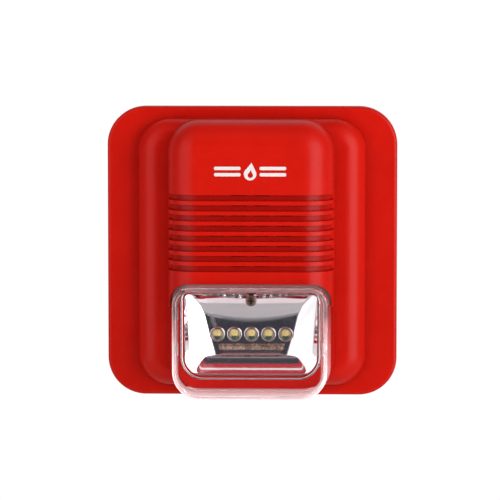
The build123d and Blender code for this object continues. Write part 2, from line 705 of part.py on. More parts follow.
def terminal_screw(x):
    """Captive slotted screw."""
    head = rod(1.75, 1.4, 3.0, (x, TERMINAL_Y))
    head = chamfer(head.edges().filter_by(GeomType.CIRCLE).sort_by(Axis.Z)[0], 0.2)
    shank = rod(1.0, 3.0, 6.85, (x, TERMINAL_Y))
    slot = bar((x - 2, x + 2), (TERMINAL_Y - 0.25, TERMINAL_Y + 0.25), (1.0, 2.2))
    return head + shank - slot


def terminal_cage(x):
    """Clamp that rises on its screw and presses the wire against the contact bar."""
    cage = bar(
        (x - 1.75, x + 1.75), (TERMINAL_Y - 1.6, TERMINAL_Y + 1.6), (CAGE_REST, CAGE_REST + CAGE_LENGTH)
    )
    window = bar(
        (x - 1.25, x + 1.25), (TERMINAL_Y - 3, TERMINAL_Y + 3), (CAGE_REST + 0.8, CAGE_REST + 3.7)
    )
    return cage - window - rod(1.1, CAGE_REST - 1, CAGE_REST + 1, (x, TERMINAL_Y))


# --- Head: switch and trimmer ---------------------------------------------------------------------------
def dip_lever_ys():
    middle = (DIP_LEVERS - 1) / 2
    return [DIP_Y + (middle - k) * DIP_PITCH for k in range(DIP_LEVERS)]


def dip_body():
    """Slide switch block with one slot for each lever."""
    length = DIP_LEVERS * DIP_PITCH + 1.6
    body = bar((DIP_X - 4.9, DIP_X + 4.9), (DIP_Y - length / 2, DIP_Y + length / 2), (DIP_REAR, BOARD_REAR))
    for y in dip_lever_ys():
        body = body - bar((DIP_X - 1.7, DIP_X + 1.7), (y - 0.75, y + 0.75), (DIP_REAR - 1, DIP_REAR + 1.4))
    return body


def dip_lever(y):
    """Lever at the left end of its slot."""
    x = DIP_X - DIP_TRAVEL / 2
    foot = bar((x - 0.8, x + 0.8), (y - 0.65, y + 0.65), (DIP_REAR - 0.8, DIP_REAR + 1.3))
    return chamfer(foot.faces().sort_by(Axis.Z)[0].edges(), 0.2)


def trimmer_body():
    half = 3.3
    body = bar(
        (TRIMMER_X - half, TRIMMER_X + half), (TRIMMER_Y - half, TRIMMER_Y + half),
        (TRIMMER_REAR, BOARD_REAR),
    )
    return body - rod(TRIMMER_ROTOR + 0.06, TRIMMER_REAR - 1, TRIMMER_REAR + 1.5, (TRIMMER_X, TRIMMER_Y))


def trimmer_rotor():
    at = (TRIMMER_X, TRIMMER_Y)
    rotor = rod(TRIMMER_ROTOR, TRIMMER_REAR - 0.4, TRIMMER_REAR + 1.4, at)
    slot = bar(
        (TRIMMER_X - 1.6, TRIMMER_X + 1.6), (TRIMMER_Y - 0.3, TRIMMER_Y + 0.3),
        (TRIMMER_REAR - 1, TRIMMER_REAR + 0.3),
    )
    arrow = bar(
        (TRIMMER_X - 0.7, TRIMMER_X + 0.7), (TRIMMER_Y + 0.7, TRIMMER_Y + 1.2),
        (TRIMMER_REAR - 1, TRIMMER_REAR + 0.1),
    )
    return rotor - slot - arrow


# --- Rear cover and mounting base --------------------------------------------------------------------------
def rear_cover():
    """Closes the head, with windows for the terminals, the switch and the trimmer."""
    cover = slab(COVER_WIDTH, COVER_HEIGHT, 9.0, COVER_REAR, COVER_FRONT)
    for at in COVER_SCREWS:
        cover = cover + rod(4.2, COVER_REAR, COVER_FRONT + 1.3, at)
    for y in (-22.0, -38.0, 34.0):
        cover = cover + bar((-34, 34), (y - 0.8, y + 0.8), (COVER_REAR, COVER_FRONT + 1.2))
    for at in COVER_SCREWS:
        cover = cover - rod(2.9, COVER_REAR - 1, 5.9, at) - rod(1.6, COVER_REAR - 1, 9, at)
    half = TERMINALS * TERMINAL_PITCH / 2 + 1.0
    depth = TERMINAL_DEPTH / 2
    cover = cover - bar(
        (-half, half), (TERMINAL_Y - depth - 6.0, TERMINAL_Y + depth + 0.6), (COVER_REAR - 1, COVER_FRONT + 1)
    )
    cover = cover - slab(12.6, 14.0, 1.0, COVER_REAR - 1, COVER_FRONT + 1, (DIP_X, DIP_Y))
    return cover - rod(3.0, COVER_REAR - 1, COVER_FRONT + 1, (TRIMMER_X, TRIMMER_Y))


def box_slots():
    """Screw slots for a back box, level with its middle, and a pair above and below."""
    length = BOX_SLOT_LENGTH - 2 * BOX_SLOT_RADIUS
    slots = []
    for side in (-0.5, 0.5):
        level = SlotCenterToCenter(length, 2 * BOX_SLOT_RADIUS)
        slots.append(Pos(side * BOX_SCREW_SPACING, 0, -1) * extrude(level, BASE_THICKNESS + 2))
        upright = Rot(0, 0, 90) * level
        slots.append(Pos(0, side * GANG_SCREW_SPACING, -1) * extrude(upright, BASE_THICKNESS + 2))
    return slots


def hinge_bead(x):
    """Round bead on a short neck, which carries the head."""
    neck = bar((x - BEAD_LENGTH / 2, x + BEAD_LENGTH / 2), (HINGE_Y - 0.9, HINGE_Y + 0.4), (0, HINGE_Z))
    bead = Rot(0, 90, 0) * Cylinder(BEAD_RADIUS, BEAD_LENGTH)
    return neck + Pos(x, HINGE_Y, HINGE_Z) * bead


def mounting_base():
    """Plate that is screwed to the wall or to a back box."""
    base = slab(BASE, BASE, BASE_CORNER, 0, BASE_THICKNESS)
    base = base - slab(BASE_OPENING, BASE_OPENING, 4.0, -1, BASE_THICKNESS + 1)
    collar = slab(BASE_OPENING + 5, BASE_OPENING + 5, 6.5, 0, BASE_THICKNESS + 1.0)
    base = base + (collar - slab(BASE_OPENING, BASE_OPENING, 4.0, -1, BASE_THICKNESS + 2))
    for slot in box_slots():
        base = base - slot
    corner = WALL_SCREW_SPACING / 2
    for at in [(x, y) for x in (corner, -corner) for y in (corner, -corner)]:
        base = base + rod(5.0, 0, BASE_THICKNESS + 0.8, at) - rod(WALL_HOLE_RADIUS, -1, 5, at)
    base = base + hinge_bead(BEAD_X) + hinge_bead(-BEAD_X)
    tongue_root = -BASE / 2 + 12
    for x in (-9.0, 9.0):
        gap = bar((x - 0.6, x + 0.6), (-BASE / 2 - 1, tongue_root), (-1, BASE_THICKNESS + 1))
        base = base - gap
    tongue_end = -BASE / 2
    stem = bar((-6, 6), (tongue_end, tongue_end + 1.4), (0, 5.0))
    tooth = Plane.YZ * make_face(
        Polyline((tongue_end + 0.2, 3.2), (tongue_end - 0.7, 3.2), (tongue_end + 0.2, 5.0), close=True)
    )
    return base + stem + Pos(-5, 0, 0) * extrude(tooth, 10)


# --- Write every piece ------------------------------------------------------------------------------------
def build():
    os.makedirs("parts", exist_ok=True)
    save("mounting_base", mounting_base())
    save("front_housing", front_housing())
    save("front_symbol", front_symbol())
    save("rear_cover", rear_cover())
    save("cover_screws", group_of(
        lambda place: screw(place, 4.2, 2.7, 1.7, 14.0, 1.25 - FIT, True), COVER_SCREWS))

    save("strobe_lens", strobe_lens())
    save("strobe_reflector", strobe_reflector())
    save("reflector_screw", screw((0, REFLECTOR_SCREW_Y), 26.5, 2.3, 1.5, 15.0, 1.1 - FIT, False))
    for number, place in enumerate(led_places(), start=1):
        save(f"strobe_led_{number}", strobe_led(place))
    save("led_leads", led_leads())
    save("led_board", led_board())
    lamp_screws = [(LED_BOARD_SCREW_X, LED_ROW), (-LED_BOARD_SCREW_X, LED_ROW)]
    save("led_board_screws", group_of(
        lambda place: screw(place, 9.4, 2.0, 1.6, 18.0, 0.95 - FIT, True), lamp_screws))

    at = (0, SOUNDER_Y)
    screen_rear = LOUVRE_CEILING - SCREEN_THICKNESS
    save("dust_screen", rod(SOUNDER_RADIUS - 0.5, screen_rear, LOUVRE_CEILING, at))
    save("sounder_gasket", ring(SOUNDER_RADIUS, 17.2, CUP_FRONT, screen_rear, at))
    save("sounder_cup", sounder_cup())
    save("piezo_disc", rod(DISC_RADIUS, DISC_SEAT - 0.3, DISC_SEAT, at))
    save("piezo_ceramic", rod(12.5, DISC_SEAT - 0.55, DISC_SEAT - 0.3, at))
    save("sounder_back", sounder_back())
    ears = [(SOUNDER_EAR_X, SOUNDER_Y), (-SOUNDER_EAR_X, SOUNDER_Y)]
    save("sounder_screws", group_of(
        lambda place: screw(place, CUP_REAR - 3.0, 2.3, 1.5, 30.0, 1.1 - FIT, True), ears))

    save("main_board", main_board())
    save("main_board_screws", group_of(
        lambda place: screw(place, 9.2, 2.7, 1.8, 16.5, 1.25 - FIT, True), BOARD_SCREWS))
    for number, place in enumerate(CAPACITOR_PLACES, start=1):
        save(f"capacitor_{number}", capacitor(place))
    save("inductor_core", inductor_core())
    save("inductor_winding", inductor_winding())
    save("drive_transistors", group_of(drive_transistor, TRANSISTOR_PLACES))
    save("controller_chip", controller_chip())
    save("rectifier_diodes", small_parts(DIODE_PLACES, (4.3, 2.6, 2.1)))
    save("chip_resistors", small_parts(RESISTOR_PLACES, (2.0, 1.25, 0.5)))
    save("ceramic_capacitors", small_parts(CERAMIC_PLACES, (2.0, 1.25, 0.9)))
    save("led_header", led_header())
    save("led_plug", led_plug())
    save("led_wires", led_wires())
    save("piezo_wires", piezo_wires())

    save("terminal_block", terminal_block())
    save("terminal_pins", Compound(children=[terminal_pin(x) for x in terminal_places()]))
    for number, x in enumerate(terminal_places(), start=1):
        save(f"terminal_screw_{number}", terminal_screw(x))
        save(f"terminal_cage_{number}", terminal_cage(x))
    save("dip_body", dip_body())
    for number, y in enumerate(dip_lever_ys(), start=1):
        save(f"dip_lever_{number}", dip_lever(y))
    save("trimmer_body", trimmer_body())
    save("trimmer_rotor", trimmer_rotor())


build()
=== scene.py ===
import json
import math

import bpy
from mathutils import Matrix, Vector


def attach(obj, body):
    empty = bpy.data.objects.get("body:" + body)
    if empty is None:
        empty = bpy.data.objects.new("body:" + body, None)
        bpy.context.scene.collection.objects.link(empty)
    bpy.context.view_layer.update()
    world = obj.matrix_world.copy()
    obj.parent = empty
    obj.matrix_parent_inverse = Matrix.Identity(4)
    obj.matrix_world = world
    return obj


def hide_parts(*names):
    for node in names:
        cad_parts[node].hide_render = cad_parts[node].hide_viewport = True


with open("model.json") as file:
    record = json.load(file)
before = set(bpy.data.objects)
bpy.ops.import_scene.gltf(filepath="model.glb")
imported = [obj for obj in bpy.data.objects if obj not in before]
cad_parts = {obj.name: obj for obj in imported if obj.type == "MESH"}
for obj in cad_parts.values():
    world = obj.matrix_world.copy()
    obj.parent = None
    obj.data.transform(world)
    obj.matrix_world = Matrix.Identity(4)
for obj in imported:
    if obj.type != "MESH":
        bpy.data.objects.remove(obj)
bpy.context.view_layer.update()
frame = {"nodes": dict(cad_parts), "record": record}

NODES = frame["nodes"]
MM = 0.001

# ---------------------------------------------------------------- sizes in mm; a height is out from the wall

RIM_H = 30.8                # the trough's rim
BACK_H = 18.2               # its flat back
RIM_HALF = 28.35
RIM_TOP = -13.95
RIM_LOW = -50.85
FLANGE_HALF = 28.7          # flat flange just outside the rim
FLANGE_TOP = -13.62
FLANGE_LOW = -51.18
TROUGH_SKIN = 0.8
CORNER_TOP = 2.2            # corner radii at the rim, over those at the back
CORNER_LOW = 8.3
BACK_CORNER_TOP = 0.3
BACK_CORNER_LOW = 0.4
FLANGE_CORNER_TOP = 2.6
FLANGE_CORNER_LOW = 9.0
BACK_Z = -36.0              # where the rows of the flat back close up
BACK_ROWS = 8
CEILING_LIFT = 3.0          # the deep corners of the ceiling stand this far above its middle
STEPS = 56                  # rows down the walls

LAMP_PITCH = 7.15
LAMP_Z = -34.0
LAMP_X = [LAMP_PITCH * (k - 2) for k in range(5)]
PHOSPHOR_RISE = 0.45        # in each lamp the yellow sits high and the green low
BOND_RISE = -0.95

LEDGE_HALF = 13.3           # lip under the row of lamps
LEDGE_LOW = -40.7
LEDGE_HIGH = -37.9
LEDGE_FOOT = 18.0
LEDGE_SLANT = 0.5

LENS_SKIN_H = 44.8          # the lens's front is clear down to here, and its walls are milky, with a painted pink glow, from the next
LENS_WALL_H = 41.0
LENS_BOTTOM_Z = -53.0       # the milkiness and the painted glow fade from here up to the next
LENS_TOP_Z = -24.0

FLOOR_HALF = 0.75           # metres, as are those below
FLOOR_Z = -0.30
LIGHT_DISTANCE = 1.1
CAMERA_DISTANCE = 1.45
PAINTED_SHADE_REACH = 0.005        # walls nearer than this paint shade into a hollow

# (radius, height) points of the small round parts
COLLAR = [(2.6, 17.8), (2.6, 18.9), (2.7, 19.1), (2.9, 19.15), (3.05, 18.95), (3.15, 18.3), (3.15, 17.8),
          (2.6, 17.8)]
CUP = [(0.0, 18.3), (1.1, 18.3), (1.4, 18.55), (2.05, 19.3), (2.15, 19.3), (2.15, 18.9), (1.4, 18.25),
       (0.0, 18.22)]
PHOSPHOR = [(0.0, 18.98), (0.6, 18.94), (0.95, 18.82), (1.1, 18.6), (1.1, 18.3), (0.0, 18.3)]
BOND = [(0.0, 18.8), (0.6, 18.76), (0.78, 18.6), (0.78, 18.3), (0.0, 18.3)]

# ---------------------------------------------------------------- material helpers

MATS = {}


def new_material(name):
    m = bpy.data.materials.new(name)
    MATS[name] = m
    m.use_nodes = True
    nt = m.node_tree
    return nt, nt.nodes["Principled BSDF"]


def link(nt, a, b):
    nt.links.new(a, b)


def object_point(nt):
    return nt.nodes.new("ShaderNodeTexCoord").outputs["Object"]


def noise(nt, scale, detail=4.0, rough=0.55):
    n = nt.nodes.new("ShaderNodeTexNoise")
    n.inputs["Scale"].default_value = scale
    n.inputs["Detail"].default_value = detail
    n.inputs["Roughness"].default_value = rough
    link(nt, object_point(nt), n.inputs["Vector"])
    return n.outputs["Fac"]


def ramp(nt, fac, stops):
    """Colour from a value, by two (position, colour) stops."""
    r = nt.nodes.new("ShaderNodeValToRGB")
    for element, (position, colour) in zip(r.color_ramp.elements, stops):
        element.position = position
        element.color = (*colour, 1.0)
    link(nt, fac, r.inputs["Fac"])
    return r.outputs["Color"]


def spread(nt, fac, low, high, start=0.3, end=0.7):
    """Value going from low to high while fac goes from start to end."""
    r = nt.nodes.new("ShaderNodeMapRange")
    r.inputs["From Min"].default_value = start
    r.inputs["From Max"].default_value = end
    r.inputs["To Min"].default_value = low
    r.inputs["To Max"].default_value = high
    link(nt, fac, r.inputs["Value"])
    return r.outputs["Result"]


def combine(nt, kind, a, b):
    m = nt.nodes.new("ShaderNodeMath")
    m.operation = kind
    link(nt, a, m.inputs[0])
    link(nt, b, m.inputs[1])
    return m.outputs[0]


def bump(nt, bsdf, height, strength, distance):
    b = nt.nodes.new("ShaderNodeBump")
    b.inputs["Strength"].default_value = strength
    b.inputs["Distance"].default_value = distance
    link(nt, height, b.inputs["Height"])
    link(nt, b.outputs["Normal"], bsdf.inputs["Normal"])


def shade(colour, k):
    return tuple(min(1.0, c * k) for c in colour)


def painted_shade_in_hollows(nt, tint, least):
    """Painted shade: less light colour in narrow hollows, such as grooves and screw slots, down to a share of
    it, from ambient occlusion.
    """
    ao = nt.nodes.new("ShaderNodeAmbientOcclusion")
    ao.samples = 8
    ao.inputs["Distance"].default_value = PAINTED_SHADE_REACH
    mix = nt.nodes.new("ShaderNodeMix")
    mix.data_type = "RGBA"
    mix.blend_type = "MULTIPLY"
    mix.inputs["Factor"].default_value = 1.0
    link(nt, tint, mix.inputs["A"])
    link(nt, ramp(nt, ao.outputs["AO"], [(0.3, (least, least, least)), (0.95, (1, 1, 1))]), mix.inputs["B"])
    return mix.outputs["Result"]


def surface(name, colour, rough, grain=3000.0, depth=0.00001, strength=0.3, vary=0.1, patch=60.0,
            metallic=0.0, spec=0.5, painted_hollow_shade=1.0, glow=0.0):
    """Moulded, painted or metal finish: patchy tone, uneven gloss, and a fine grain in the bump; if asked,
    painted shade in hollows and a painted glow.
    """
    nt, b = new_material(name)
    tone = noise(nt, patch, 5.0, 0.6)
    tint = ramp(nt, tone, [(0.3, shade(colour, 1.0 - vary)), (0.7, shade(colour, 1.0 + vary))])
    # painted shade: the colour is darkened where walls close in, down to this share
    if painted_hollow_shade < 1.0:
        tint = painted_shade_in_hollows(nt, tint, painted_hollow_shade)
    link(nt, tint, b.inputs["Base Color"])
    link(nt, spread(nt, noise(nt, patch * 4.0, 4.0, 0.6), *rough), b.inputs["Roughness"])
    bump(nt, b, noise(nt, grain, 3.0, 0.6), strength, depth)
    b.inputs["Metallic"].default_value = metallic
    b.inputs["Specular IOR Level"].default_value = spec
    # painted glow: the surface gives off light in its own colour
    if glow:
        link(nt, tint, b.inputs["Emission Color"])
        b.inputs["Emission Strength"].default_value = glow


def clear(name, tint, ior, rough):
    nt, b = new_material(name)
    link(nt, ramp(nt, noise(nt, 30.0), [(0.3, shade(tint, 0.985)), (0.7, tint)]), b.inputs["Base Color"])
    link(nt, spread(nt, noise(nt, 180.0), *rough), b.inputs["Roughness"])
    bump(nt, b, noise(nt, 90.0, 2.0), 0.04, 0.0001)
    b.inputs["Transmission Weight"].default_value = 1.0
    b.inputs["IOR"].default_value = ior
    return nt, b


# ---------------------------------------------------------------- materials


def plastics():
    # the housing's grooves and sound slots get painted shade, down to 0.72 of the red
    surface("housing_plastic", (0.60, 0.0065, 0.0006), (0.30, 0.37), grain=2600.0, strength=0.12,
            vary=0.05, patch=40.0, spec=0.18, painted_hollow_shade=0.72)
    surface("base_plastic", (0.52, 0.012, 0.004), (0.45, 0.55), grain=3500.0, depth=0.00002, vary=0.06)
    surface("marking", (0.83, 0.82, 0.80), (0.4, 0.5), grain=6000.0, strength=0.2, vary=0.03)
    surface("cover_plastic", (0.022, 0.022, 0.024), (0.45, 0.6), depth=0.00002, strength=0.35, vary=0.15)
    surface("inner_plastic", (0.018, 0.018, 0.02), (0.4, 0.55), depth=0.00002, vary=0.15)
    surface("connector_white", (0.78, 0.76, 0.68), (0.4, 0.5), vary=0.05)
    surface("terminal_plastic", (0.02, 0.22, 0.06), (0.38, 0.5), vary=0.08)
    surface("switch_blue", (0.015, 0.07, 0.36), (0.38, 0.5), vary=0.08)
    surface("lever_white", (0.78, 0.78, 0.75), (0.35, 0.5), vary=0.05)
    surface("trimmer_blue", (0.02, 0.12, 0.42), (0.35, 0.5), vary=0.08)
    surface("wire_red", (0.5, 0.01, 0.008), (0.35, 0.5))
    surface("wire_black", (0.016, 0.016, 0.016), (0.35, 0.5))
    surface("capacitor_sleeve", (0.012, 0.012, 0.02), (0.2, 0.32), grain=2500.0, strength=0.2, vary=0.2)
    surface("component_black", (0.014, 0.014, 0.015), (0.4, 0.6), depth=0.00002, strength=0.4, vary=0.2)
    surface("resistor_black", (0.02, 0.02, 0.024), (0.3, 0.5), vary=0.2)
    surface("foam", (0.02, 0.02, 0.02), (0.8, 0.95), grain=2000.0, depth=0.00008, strength=0.8, vary=0.3)
    surface("screen_fabric", (0.015, 0.015, 0.015), (0.7, 0.9), grain=2500.0, depth=0.00005, strength=0.8,
            vary=0.3)


def metals_and_ceramics():
    # the slots and hollows of the screws and terminals get strong painted shade
    surface("screw_steel", (0.62, 0.61, 0.58), (0.22, 0.38), grain=2500.0, strength=0.25, patch=300.0,
            metallic=1.0, painted_hollow_shade=0.12)
    surface("dark_screw", (0.34, 0.27, 0.22), (0.25, 0.42), grain=2500.0, vary=0.2, patch=400.0,
            metallic=1.0, painted_hollow_shade=0.08)
    surface("tinned_metal", (0.72, 0.71, 0.68), (0.25, 0.4), grain=2500.0, patch=300.0, metallic=1.0)
    surface("terminal_metal", (0.66, 0.63, 0.57), (0.22, 0.4), grain=2500.0, patch=300.0, metallic=1.0,
            painted_hollow_shade=0.12)
    surface("disc_brass", (0.72, 0.50, 0.20), (0.22, 0.38), grain=2500.0, patch=200.0, metallic=1.0)
    surface("enamelled_wire", (0.42, 0.13, 0.03), (0.2, 0.35), grain=2500.0, vary=0.2, patch=200.0,
            metallic=0.7)
    surface("disc_ceramic", (0.72, 0.70, 0.64), (0.35, 0.5), grain=2500.0, vary=0.08)
    surface("ferrite", (0.045, 0.045, 0.048), (0.5, 0.7), grain=2500.0, depth=0.00003, strength=0.5, vary=0.2)
    surface("ceramic_tan", (0.40, 0.27, 0.14), (0.35, 0.5), vary=0.12)


def lamp_and_ledge_finishes():
    # painted glow: the phosphor and the green bond give off light of their own colour
    surface("phosphor", (0.72, 0.60, 0.24), (0.2, 0.4), vary=0.2, patch=900.0, glow=0.42)
    surface("bond_green", (0.02, 0.10, 0.07), (0.15, 0.3), vary=0.6, patch=1500.0, glow=0.25)
    surface("ledge_bronze", (0.36, 0.27, 0.21), (0.15, 0.35), grain=900.0, depth=0.00008, strength=0.5,
            vary=0.8, patch=260.0, metallic=0.4)
    clear("lamp_clear", (0.98, 0.98, 0.93), 1.50, (0.0, 0.04))


def chrome():
    nt, b = new_material("bright_plating")
    tone = noise(nt, 35.0, 3.0, 0.5)
    link(nt, ramp(nt, tone, [(0.3, (0.80, 0.80, 0.815)), (0.7, (0.87, 0.87, 0.875))]), b.inputs["Base Color"])
    link(nt, spread(nt, noise(nt, 160.0, 4.0, 0.6), 0.03, 0.07), b.inputs["Roughness"])
    bump(nt, b, noise(nt, 220.0, 2.0, 0.5), 0.12, 0.0001)
    b.inputs["Metallic"].default_value = 1.0


def lens_plastic():
    """Clear on the front face, and a little milky down the side walls, most of all at the bottom; the milky
    walls also give off a painted pink glow.
    """
    most = 0.27
    nt, b = clear("clear_plastic", (0.99, 0.975, 0.98), 1.18, (0.0, 0.02))
    split = nt.nodes.new("ShaderNodeSeparateXYZ")
    link(nt, object_point(nt), split.inputs["Vector"])
    walls = spread(nt, split.outputs["Y"], 0.0, 1.0, -LENS_SKIN_H * MM, -LENS_WALL_H * MM)
    fade = spread(nt, split.outputs["Z"], most, 0.04, LENS_BOTTOM_Z * MM, LENS_TOP_Z * MM)
    glow = combine(nt, "MULTIPLY", walls, fade)
    link(nt, spread(nt, glow, 1.0, 0.74, 0.0, most), b.inputs["Transmission Weight"])
    # painted glow: the milky walls give off pink light of their own, standing in for light from the red
    # housing
    link(nt, glow, b.inputs["Emission Strength"])
    painted_glow_tint = ramp(nt, noise(nt, 70.0), [(0.3, (1.0, 0.78, 0.80)), (0.7, (1.0, 0.86, 0.87))])
    link(nt, painted_glow_tint, b.inputs["Emission Color"])
    b.inputs["Coat Weight"].default_value = 0.6
    b.inputs["Coat Roughness"].default_value = 0.02


def circuit_board():
    nt, b = new_material("circuit_board")
    bricks = nt.nodes.new("ShaderNodeTexBrick")
    bricks.inputs["Scale"].default_value = 160.0
    bricks.inputs["Mortar Size"].default_value = 0.035
    bricks.inputs["Color1"].default_value = (0.010, 0.085, 0.026, 1)
    bricks.inputs["Color2"].default_value = (0.013, 0.10, 0.032, 1)
    bricks.inputs["Mortar"].default_value = (0.022, 0.17, 0.055, 1)
    turn = nt.nodes.new("ShaderNodeMapping")
    turn.inputs["Rotation"].default_value = (math.pi / 2, 0, 0)
    link(nt, object_point(nt), turn.inputs["Vector"])
    link(nt, turn.outputs["Vector"], bricks.inputs["Vector"])
    link(nt, bricks.outputs["Color"], b.inputs["Base Color"])
    link(nt, spread(nt, noise(nt, 300.0), 0.22, 0.36), b.inputs["Roughness"])
    bump(nt, b, bricks.outputs["Fac"], 0.2, 0.00003)


plastics()
metals_and_ceramics()
lamp_and_ledge_finishes()
chrome()
lens_plastic()
circuit_board()

for row in frame["record"]["subparts"]:
    surfaces = NODES[row["node"]].data.materials
    surfaces.clear()
    surfaces.append(MATS[row["material_slot"]])

# ---------------------------------------------------------------- strobe: reflector, ledge, lamps


def mesh_object(name, verts, faces, material, body, smooth=True):
    """Mesh riding on body, from (x, height above the wall, z) in millimetres."""
    mesh = bpy.data.meshes.new(name)
    mesh.from_pydata([(x * MM, -h * MM, z * MM) for x, h, z in verts], [], faces)
    mesh.update()
    if smooth:
        mesh.polygons.foreach_set("use_smooth", [True] * len(mesh.polygons))
    obj = bpy.data.objects.new(name, mesh)
    bpy.context.scene.collection.objects.link(obj)
    mesh.materials.append(MATS[material])
    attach(obj, body)
    return obj


def contour(half_top, half_low, top, low, r_top, r_low, n_edge=24, n_corner=10):
    """Closed outline of a rounded trapezoid as (x, z) points, starting at the left of its top edge."""
    corners = [
        (-half_top + r_top, top - r_top, r_top, 90),
        (-half_low + r_low, low + r_low, r_low, 180),
        (half_low - r_low, low + r_low, r_low, 270),
        (half_top - r_top, top - r_top, r_top, 0),
    ]
    arcs = []
    for cx, cz, r, start in corners:
        angles = [math.radians(start + 90 * i / n_corner) for i in range(n_corner + 1)]
        arcs.append([(cx + r * math.cos(a), cz + r * math.sin(a)) for a in angles])
    out = []
    for k, arc in enumerate(arcs):
        out += arc
        (x0, z0), (x1, z1) = arc[-1], arcs[(k + 1) % 4][0]
        for i in range(1, n_edge):
            f = i / n_edge
            out.append((x0 + (x1 - x0) * f, z0 + (z1 - z0) * f))
    return out


def at_share(points, share):
    """Value at a share between 0 and 1, from (share, value) points."""
    for (g0, d0), (g1, d1) in zip(points, points[1:]):
        if share <= g1:
            return d0 + (d1 - d0) * (share - g0) / (g1 - g0)
    return points[-1][1]


def wall_run(length, slopes, samples=400):
    """(share of depth, millimetres in from the rim) down a wall, from (share of the way in, slope angle)."""
    depth = [0.0]
    for i in range(samples):
        angle = at_share(slopes, (i + 0.5) / samples)
        depth.append(depth[-1] + math.tan(math.radians(angle)))
    return [(d / depth[-1], length * i / samples) for i, d in enumerate(depth)]


CEILING = wall_run(14.6, [(0, 82), (0.03, 66), (0.29, 60), (0.33, 33), (0.6, 21), (1, 3)])
SIDE_HIGH = wall_run(8.8, [(0, 87.5), (0.045, 87), (0.07, 35), (0.5, 31), (0.85, 25), (0.95, 13), (1, 4)])
SIDE_LOW = wall_run(14.4, [(0, 86), (0.035, 85.5), (0.05, 33), (0.5, 28), (0.85, 22), (0.96, 11), (1, 4)])
FLOOR = wall_run(8.0, [(0, 88.2), (0.035, 88.2), (0.045, 4), (0.18, 7), (0.36, 9.5), (0.58, 16), (0.9, 24),
                       (0.93, 60), (1, 80)])
# even rows down the walls, and more where the floor turns to face the front
RINGS = sorted({round(j / STEPS, 4) for j in range(STEPS + 1)} | {round(d, 4) for d, _ in FLOOR[::16]})


def wall_ring(g):
    """Outline of the trough at a share of its depth. Its ceiling is a little higher at the sides."""
    half = RIM_HALF - at_share(SIDE_HIGH, g)
    low_half = RIM_HALF - at_share(SIDE_LOW, g)
    top = RIM_TOP - at_share(CEILING, g)
    low = RIM_LOW + at_share(FLOOR, g)
    r_top = CORNER_TOP * (1 - g) + BACK_CORNER_TOP
    r_low = CORNER_LOW * (1 - g) ** 1.4 + BACK_CORNER_LOW
    ring = contour(half, low_half, top, low, r_top, r_low)
    height = RIM_H - (RIM_H - BACK_H) * g
    verts = []
    for x, z in ring:
        near_top = max(0.0, (2 * z - top - low) / (top - low))
        verts.append((x, height, z + CEILING_LIFT * g * near_top * (x / half) ** 2))
    return verts


def reflector():
    flange = contour(FLANGE_HALF, FLANGE_HALF, FLANGE_TOP, FLANGE_LOW, FLANGE_CORNER_TOP, FLANGE_CORNER_LOW)
    rows = [[(x, RIM_H, z) for x, z in flange]]
    rows += [wall_ring(g) for g in RINGS]
    back = rows[-1]
    for j in range(1, BACK_ROWS):
        t = j / BACK_ROWS
        rows.append([(x * (1 - t), BACK_H, z + (BACK_Z - z) * t) for x, _, z in back])
    n = len(flange)
    faces = []
    for j in range(len(rows) - 1):
        for i in range(n):
            a, b = j * n + i, j * n + (i + 1) % n
            faces.append((a, b, b + n, a + n))
    verts = [v for row in rows for v in row] + [(0.0, BACK_H, BACK_Z)]
    last = len(verts) - 1 - n
    faces += [(last + i, last + (i + 1) % n, len(verts) - 1) for i in range(n)]
    obj = mesh_object("reflector_trough", verts, faces, "bright_plating", "head")
    skin = obj.modifiers.new("skin", "SOLIDIFY")
    skin.thickness = TROUGH_SKIN * MM
    skin.offset = -1.0
    return obj


def ledge():
    """Thin lip under the row of lamps, with slanted ends."""
    section = [
        (LEDGE_LOW, LEDGE_FOOT),
        (LEDGE_LOW, LEDGE_FOOT + 0.9),
        (LEDGE_LOW + 0.3, LEDGE_FOOT + 1.2),
        (LEDGE_HIGH - 1.2, LEDGE_FOOT + 1.4),
        (LEDGE_HIGH - 0.2, LEDGE_FOOT + 0.7),
        (LEDGE_HIGH, LEDGE_FOOT),
    ]
    left_end = [(-LEDGE_HALF - 0.5, 0.25), (-LEDGE_HALF, 0.85), (-LEDGE_HALF + 0.9, 1.0)]
    right_end = [(-x, k) for x, k in reversed(left_end)]
    stations = left_end + [(x, 1.0) for x in range(-12, 13)] + right_end
    middle = (LEDGE_LOW + LEDGE_HIGH) / 2
    verts = []
    for x, k in stations:
        slant = LEDGE_SLANT if abs(x) > LEDGE_HALF - 0.5 else 0.0
        for z, h in section:
            lean = math.copysign(slant, x) * (z - middle) * 0.4
            verts.append((x + lean, LEDGE_FOOT + (h - LEDGE_FOOT) * k, z))
    n = len(section)
    faces = []
    for j in range(len(stations) - 1):
        for i in range(n):
            a, b = j * n + i, j * n + (i + 1) % n
            faces.append((a, a + n, b + n, b))
    faces.append(tuple(range(n)))
    faces.append(tuple(range(len(verts) - 1, len(verts) - n - 1, -1)))
    return mesh_object("lamp_ledge", verts, faces, "ledge_bronze", "head", smooth=False)


def lathe(name, profile, centre, material, body, segments=48):
    """Part turned about the wall's normal at an (x, z) centre, from (radius, height) points."""
    x0, z0 = centre
    verts, faces = [], []
    for r, h in profile:
        for i in range(segments):
            a = 2 * math.pi * i / segments
            verts.append((x0 + r * math.cos(a), h, z0 + r * math.sin(a)))
    for j in range(len(profile) - 1):
        for i in range(segments):
            a, b = j * segments + i, j * segments + (i + 1) % segments
            faces.append((a, b, b + segments, a + segments))
    obj = mesh_object(name, verts, faces, material, body)
    obj.modifiers.new("weld", "WELD").merge_threshold = 0.000005
    return obj


